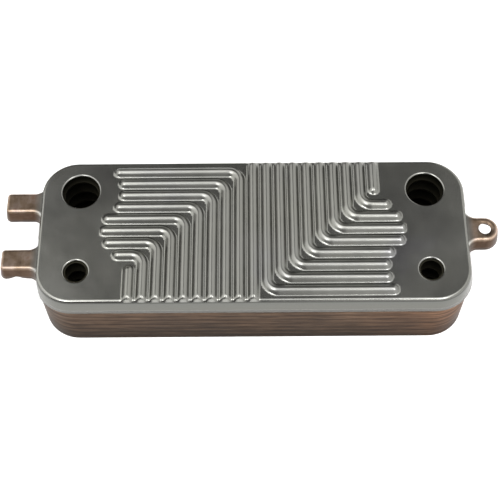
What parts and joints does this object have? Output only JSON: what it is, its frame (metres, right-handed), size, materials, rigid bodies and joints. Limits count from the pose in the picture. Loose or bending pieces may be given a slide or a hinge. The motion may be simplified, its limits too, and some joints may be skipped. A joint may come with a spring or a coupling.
{
  "type": "plate heat exchanger",
  "caption": "Small brazed plate heat exchanger with ridged cover, four front ports, two end tabs and a screw lug, for a combination boiler.",
  "frame": {"origin": "centre of the port rectangle, on the front cover's flat sealing face", "axes": "+Z out of the ports, +X along the length towards the lug with the screw hole, +Y towards the large ports"},
  "size_m": [0.22, 0.0732, 0.0382],
  "materials": {
    "cover_steel": "satin stainless steel, pressed",
    "coppered_steel": "stainless steel stained by copper braze",
    "stack_steel": "copper-brown brazed skirts",
    "copper": "copper braze, dull"
  },
  "bodies": {
    "root": {"front_plate": "cover_steel", "mounting_plate": "coppered_steel", "channel_plate_1": "stack_steel", "channel_plate_2": "stack_steel", "channel_plate_3": "stack_steel", "channel_plate_4": "stack_steel", "channel_plate_5": "stack_steel", "channel_plate_6": "stack_steel", "back_plate": "stack_steel", "copper_joint_0": "copper", "copper_joint_1": "copper", "copper_joint_2": "copper", "copper_joint_3": "copper", "copper_joint_4": "copper", "copper_joint_5": "copper", "copper_joint_6": "copper", "copper_joint_7": "copper"}
  },
  "joints": []
}
